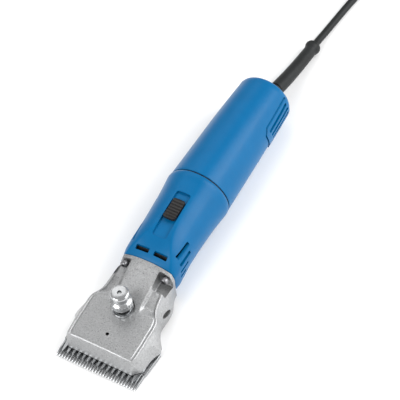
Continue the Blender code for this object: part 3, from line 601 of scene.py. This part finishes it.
def front_ring(y, inset=0.0):
    """One section of the front housing: a barrel whose top is cut to a gently crowned flat."""
    width, centre, barrel, top, bottom, fullness, low_fullness, flat = eased(FRONT_STATIONS, y)
    width -= inset
    barrel -= inset
    top -= inset
    bottom += inset
    flat = min(flat, width * 0.93)
    top_points, side_points = 10, 20
    corner = centre + barrel * max(0.0, 1 - (flat / width) ** fullness) ** (1 / fullness)
    half = []
    for i in range(top_points):
        x = flat * i / top_points
        half.append((x, top - (top - corner) * (i / top_points) ** 2))
    start = math.acos(min(1.0, (flat / width) ** (fullness / 2)))
    for i in range(side_points):
        angle = start * (1 - i / side_points)
        half.append((width * math.cos(angle) ** (2 / fullness),
                     centre + barrel * math.sin(angle) ** (2 / fullness)))
    for i in range(side_points + 1):
        angle = math.pi / 2 * i / side_points
        half.append((width * max(0.0, math.cos(angle)) ** (2 / low_fullness),
                     centre - (centre - bottom) * math.sin(angle) ** (2 / low_fullness)))
    half[-1] = (0.0, bottom)
    left = [(-x, z) for x, z in reversed(half[1:-1])]
    return [(x, y, z) for x, z in half + left]


def round_ring(radius, y, centre, count=112):
    """A round section across the handle."""
    return [(radius * math.sin(2 * math.pi * i / count), y,
             centre + radius * math.cos(2 * math.pi * i / count)) for i in range(count)]


def rear_ring(y, inset=0.0):
    radius, centre = eased(REAR_STATIONS, y)
    return round_ring(radius - inset, y, centre)


def hollow(made, thickness):
    """Gives a skin its wall, measured inwards."""
    wall = made.modifiers.new("wall", "SOLIDIFY")
    wall.thickness = thickness * MM
    wall.offset = -1
    return settle(made)


def make_front_housing():
    rings = [front_ring(-59.0, 0.7), front_ring(-58.7, 0.15)]
    rings += [front_ring(y) for y in spaced(-58.2, 28.3, 2.0)]
    rings += [front_ring(28.7, 0.2), front_ring(28.9, 0.6)]
    body = hollow(loft("front_shell", rings, "blue_shell", closed=False, smooth=24), WALL)
    pad = extruded("pad", [(-36.0, 49.0), (9.5, 50.9), (9.5, 55.6), (-8.0, 54.4), (-36.0, 49.9)],
                   -8.6, 8.6, "X")
    cut(body, [pad], "UNION")
    track = extruded("track", [(-6.9, -38.0), (6.9, -38.0), (6.9, 7.6), (-6.9, 7.6)], 50.0, 70.0, "Z",
                     corner=2.2)
    floor = extruded("track_floor", [(-40.0, 49.6), (-8.0, 53.6), (9.0, 55.2), (9.0, 80), (-40.0, 80)],
                     -9.0, 9.0, "X")
    cut(track, [floor], "INTERSECT")
    cutters = [track, rounded_box("stem", (-2.6, -19.0, 40), (2.6, -3.0, 60), 1.0)]
    for side in (-1, 1):
        for low, high in [((2.4, -53.6, 36), (15.2, -49.5, 56)),
                          ((12, -46.4, 41.3), (38, -28.2, 44.8)),
                          ((12, -48.4, 35.0), (38, -31.6, 38.2)),
                          ((12, -50.4, 28.5), (38, -37.6, 31.2)),
                          ((12, -51.1, 22.6), (38, -42.6, 25.2))]:
            xs = sorted((side * low[0], side * high[0]))
            cutters.append(rounded_box("vent", (xs[0], low[1], low[2]), (xs[1], high[1], high[2]), 0.8))
    cut(body, cutters)
    piece(body, "handle", "blue_shell", "front_housing")


def vent_outline(grow):
    """A side vent window in (y, z): square behind, slanted in front."""
    return [(150.6 + grow, 15.0 - grow), (150.6 + grow, 40.4 + grow),
            (111.4 - grow * 0.6, 41.4 + grow), (105.4 - grow, 36.4), (108.4 - grow, 15.0 - grow)]


def make_rear_housing():
    rings = [rear_ring(30.1, 0.6), rear_ring(30.3, 0.15)]
    rings += [rear_ring(y) for y in spaced(30.9, 150.4, 2.4)]
    radius, centre = eased(REAR_STATIONS, TAIL_Y)
    for k in range(1, 9):
        angle = math.pi / 2 * k / 8
        rings.append(round_ring(radius - TAIL_ROUND * (1 - math.cos(angle)),
                                TAIL_Y - TAIL_ROUND * (1 - math.sin(angle)), centre))
    rings += [round_ring(14.0, TAIL_Y, 25.2), round_ring(8.0, TAIL_Y, 18.6)]
    body = loft("rear_shell", rings, "blue_shell", closed=False, smooth=24)
    hollow(body, WALL)
    windows = []
    for side in (-1, 1):
        xs = sorted((side * 11.0, side * 36.0))
        windows.append(extruded("window", vent_outline(0.0), xs[0], xs[1], "X", corner=1.0))
    cut(body, windows)
    piece(body, "handle", "blue_shell", "rear_housing")
    for side, hand in ((-1, "left"), (1, "right")):
        make_vent_cover(side, hand)


def make_vent_cover(side, hand):
    """The right cover stands slightly proud of the housing, and the left one is flush."""
    inset = -0.9 if side > 0 else 0.12
    cover = loft("vent_grille_" + hand, [rear_ring(y, inset) for y in spaced(100.0, 154.0, 2.4)],
                 "blue_shell", closed=False, smooth=24)
    hollow(cover, 2.1 - inset)
    xs = sorted((side * 12.0, side * 36.0))
    cut(cover, [extruded("bounds", vent_outline(-VENT_GAP), xs[0], xs[1], "X", corner=0.8)], "INTERSECT")
    slots = []
    for k, (low, high) in enumerate([(112.0, 147.2), (113.4, 147.6), (115.0, 147.6)]):
        z = 35.8 - 5.4 * k
        slots.append(rounded_box("slot", (xs[0], low, z - 1.5), (xs[1], high, z + 1.5), 1.3))
    cut(cover, slots)
    piece(cover, "handle", "blue_shell", "vent_cover_" + hand)


def make_slider():
    """The thumb slide: a dished pad with cross ribs, rounded at its corners."""
    profile = [(-21.0, 54.1), (0.0, 54.1)]
    ribs = 7
    for i in range(ribs * 8, -1, -1):
        along = i / (ribs * 8)
        dish = 0.9 * (2 * along - 1) ** 2
        rib = 0.8 * (0.5 - 0.5 * math.cos(2 * math.pi * ribs * along))
        profile.append((-21.0 + 21.0 * along, 56.2 + dish + rib - 0.25 * (1 - along)))
    pad = extruded("switch_pad", profile, -5.7, 5.7, "X", "black_plastic")
    bounds = extruded("bounds", [(-5.6, -20.9), (5.6, -20.9), (5.6, -0.1), (-5.6, -0.1)], 50, 60, "Z",
                      corner=1.8)
    cut(pad, [bounds], "INTERSECT")
    stem = rounded_box("stem", (-2.0, -13.5, 50.4), (2.0, -8.5, 54.6), 0.3)
    join_meshes(pad, stem)
    piece(pad, "switch", "black_plastic", "switch_slider")


# ---------------------------------------------------------------- head

# Station y on top, y at the bottom, half width and z of the top's edge, top z in the middle,
# half width at the skirt, skirt z, underside z
HEAD_STATIONS = [
    (-59.3, -59.3, 22.6, 37.6, 42.0, 25.4, 24.0, 4.2),
    (-64.0, -64.0, 22.8, 36.2, 40.6, 26.0, 20.0, 4.2),
    (-70.0, -70.0, 23.0, 34.3, 38.6, 28.4, 15.0, 4.2),
    (-76.0, -76.0, 23.4, 32.4, 36.6, 30.8, 12.5, 4.2),
    (-84.0, -84.0, 24.4, 30.4, 34.0, 31.6, 11.5, 4.2),
    (-92.0, -92.0, 25.8, 28.8, 31.4, 31.4, 11.0, 4.2),
    (-97.0, -97.0, 28.4, 28.0, 29.8, 31.6, 10.5, 4.2),
    (-101.0, -101.0, 31.0, 27.4, 28.8, 33.2, 10.0, 4.2),
    (-106.0, -106.0, 31.9, 26.9, 28.2, 36.4, 9.6, 4.2),
    (-112.0, -112.0, 32.0, 26.4, 27.7, 40.6, 9.4, 4.2),
    (-117.0, -117.0, 31.9, 26.0, 27.3, 41.9, 9.4, 4.2),
    (-121.5, -121.5, 32.0, 25.7, 27.0, 40.2, 9.2, 4.2),
    (-127.0, -127.0, 32.0, 25.4, 26.5, 38.8, 9.0, 4.2),
    (-134.0, -134.5, 31.8, 25.0, 25.9, 38.0, 9.0, 4.2),
    (-138.6, -140.6, 31.5, 24.8, 25.4, 36.4, 9.0, 4.2),
    (-141.0, -144.6, 30.9, 24.4, 25.0, 32.4, 8.8, 4.2),
]


def head_height(x, y, mid_z, edge_x, edge_z):
    """The casting's top: a spine behind the knob, a channel down each side and a fine edge groove."""
    share = min(1.0, abs(x) / edge_x)
    z = mid_z - (mid_z - edge_z) * share**2.4
    reach = abs(x)
    across = step_up(reach, 12.6, 15.2) * (1 - step_up(reach, edge_x - 2.0, edge_x - 0.4))
    along = step_up(-y, 73.0, 76.0) * (1 - step_up(-y, 92.0, 101.0))
    rim = step_up(reach, edge_x - 2.6, edge_x - 1.8) * (1 - step_up(reach, edge_x - 1.3, edge_x - 0.4))
    return z - CHANNEL_DEPTH * across * along - GROOVE_DEPTH * rim * step_up(-y, 98.0, 103.0)


def head_ring(y):
    """One section of the casting, leaning from its station on top to the one at the bottom."""
    y_low, edge_x, edge_z, mid_z, skirt_x, skirt_z, low_z = eased(HEAD_STATIONS, y)
    half = []
    for i in range(50):
        x = (edge_x - 3.0) * i / 36 if i < 36 else edge_x - 3.0 + 3.0 * (i - 36) / 14
        half.append((x, head_height(x, y, mid_z, edge_x, edge_z)))
    edge = 1.5
    for i in range(7):
        angle = math.pi / 2 * i / 6
        half.append((edge_x + edge * 0.7 * math.sin(angle), edge_z - edge * (1 - math.cos(angle))))
    start_x, start_z = half[-1]
    for i in range(1, 17):
        t = i / 17
        bulge = 1.0 * math.sin(math.pi * t)
        half.append((start_x + (skirt_x - start_x) * t + bulge, start_z + (skirt_z - start_z) * t))
    half.append((skirt_x, skirt_z))
    half.append((skirt_x, (skirt_z + low_z) / 2))
    half.append((skirt_x, low_z + 1.0))
    half.append((skirt_x - 0.4, low_z + 0.3))
    half.append((skirt_x - 1.0, low_z))
    half.append((skirt_x * 0.5, low_z))
    half.append((0.0, low_z))
    ring = half + [(-x, z) for x, z in reversed(half[1:-1])]
    return [(x, y + (y_low - y) * (mid_z - z) / (mid_z - low_z), z) for x, z in ring]


def make_head():
    rings = [head_ring(y) for y in spaced(-140.9, -59.3, 0.85)]
    nose = []
    for k in range(6, 0, -1):
        angle = math.pi / 2 * k / 6
        inset = FRONT_EDGE_ROUND * (1 - math.cos(angle))
        reach = FRONT_EDGE_ROUND * math.sin(angle)
        nose.append([(x * (1 - inset / 32), y - reach, z - inset * step_up(z, 15, 23))
                     for x, y, z in rings[0]])
    casting = loft("head_body", nose + rings, "cast_aluminium", smooth=32)
    cutters = [
        rounded_box("lever_cavity", (-15.4, -134.6, 8.6), (15.4, -50, 21.9), 0.8),
        rounded_box("lever_cavity_front", (-19.0, -134.7, -2), (19.0, -113.0, 20.5), 0.8),
        rounded_box("cutter_space", (-60, -165, -9), (60, -112.0, 7.3), 1.0),
        revolved("post_bore", [(0, 45), (10.6, 45), (10.6, 28.2), (10.2, 27.8), (4.6, 27.8), (4.6, 15),
                               (0, 15)], (0, PIVOT_Y, 0)),
        revolved("top_oil_hole", [(0, 40), (1.5, 40), (1.5, 15), (0, 15)], (0, -129.0, 0)),
    ]
    for side in (-1, 1):
        xs = sorted((side * 13.6, side * 26.4))
        cutters.append(rounded_box("pocket", (xs[0], -77.8, 24.4), (xs[1], -62.2, 48.0), 1.4))
        cutters.append(revolved("screw_bore", [(0, -50), (2.4, -50), (2.4, -80), (0, -80)],
                                (side * HEAD_SCREW_X, 0, HEAD_SCREW_Z), "Y"))
        cutters.append(revolved("comb_bore", [(0, 12.8), (2.4, 12.8), (2.4, 0), (0, 0)],
                                (side * COMB_SCREW[0], COMB_SCREW[1], 0)))
        oil = revolved("side_oil_hole", [(0, 45), (2.7, 45), (2.7, 14), (0, 14)], (0, 0, 0), "X")
        oil.matrix_world = (Matrix.Translation(Vector((0, -84.5, 15.2)) * MM)
                            @ Matrix.Scale(side, 4, (1, 0, 0))
                            @ Matrix.Rotation(math.radians(-20), 4, "X")
                            @ Matrix.Scale(2.2, 4, (0, 1, 0)))
        cutters.append(oil)
    cut(casting, cutters)
    settle(casting, 32)
    piece(casting, "handle", "cast_aluminium", "head_casting")


def comb_tooth(x):
    """One comb tooth: parallel for most of its length, then drawn down to a blunt point."""
    rings = []
    for y, half, low, high in [(-138.5, 0.80, 0.0, COMB_THICKNESS), (-146.0, 0.70, 0.0, COMB_THICKNESS),
                               (-150.0, 0.58, 0.1, 3.1), (-153.0, 0.42, 0.25, 2.1),
                               (-154.7, 0.26, 0.4, 1.4), (-155.2, 0.12, 0.6, 1.0)]:
        edge = half * 0.3
        left, right = x - half, x + half
        rings.append([(left + edge, y, low), (right - edge, y, low), (right, y, low + edge),
                      (right, y, high - edge), (right - edge, y, high), (left + edge, y, high),
                      (left, y, high - edge), (left, y, low + edge)])
    return loft("tooth", rings)


def make_comb():
    half = [(27.0, -96.5), (31.0, -99.0), (38.0, -109.0), (41.6, -116.0), (41.2, -124.0),
            (40.2, -138.0), (39.4, -139.6)]
    outline = half + [(-x, y) for x, y in reversed(half)]
    comb = settle(extruded("comb_body", outline, 0.0, COMB_THICKNESS, "Z", "ground_steel", 0.35))
    sunk = [(0, 5), (2.6, 5), (2.6, 2.4), (5.0, 0.8), (5.0, -2), (0, -2)]
    cut(comb, [revolved("comb_screw_hole", sunk, (side * COMB_SCREW[0], COMB_SCREW[1], 0))
               for side in (-1, 1)])
    join_meshes(comb, *[comb_tooth(COMB_PITCH * (k - COMB_TEETH // 2)) for k in range(COMB_TEETH)])
    piece(comb, "handle", "ground_steel", "comb")


def make_head_screws():
    """Domed socket screws with their heads towards the comb."""
    for side, hand in ((-1, "left"), (1, "right")):
        outline = [(0, -60.2), (2.1, -60.2), (2.1, -63.8), (3.3, -63.8), (3.5, -64.1), (3.5, -67.0),
                   (3.3, -67.6), (2.8, -68.0), (2.0, -68.2), (1.5, -67.9), (1.5, -66.2), (0, -66.2)]
        place = (side * HEAD_SCREW_X, 0, HEAD_SCREW_Z)
        screw = revolved("joint_screw_" + hand, outline, place, "Y", "dark_steel", 48)
        piece(screw, "handle", "dark_steel", "head_screw_" + hand)


def make_knob():
    """The tension knob: a domed cap over a waist and a fluted collar."""
    cap = [(0, 54.6), (2.6, 54.6), (6.7, 54.4), (7.5, 54.0), (8.0, 53.3), (8.2, 52.4), (8.2, 50.4),
           (8.2, 48.4), (8.0, 47.6), (7.3, 46.9), (6.9, 46.3), (6.8, 45.4), (7.0, 44.7), (8.6, 43.9),
           (9.3, 43.4), (9.6, 42.8), (9.6, 40.4), (9.4, 40.0), (9.4, 39.6), (9.6, 39.2), (9.6, 38.3),
           (9.3, 37.8), (9.0, 37.6), (4.4, 37.6), (4.4, 50.0), (0, 50.0)]
    knob = revolved("knob_body", cap, (0, PIVOT_Y, 0), "Z", "chromed_steel", 144, (40.2, 42.9, 24, 0.5))
    dimple = revolved("dimple", [(0, 60), (2.1, 60), (2.0, 54.3), (1.4, 53.1), (0, 52.7)],
                      (0, PIVOT_Y, 0))
    cut(knob, [dimple])
    piece(knob, "knob", "chromed_steel", "tension_knob")


FINISHES = make_finishes()
make_camera()
make_studio()
dress_cad_nodes()
make_cord()
make_front_housing()
make_rear_housing()
make_slider()
make_head()
make_head_screws()
make_comb()
make_knob()
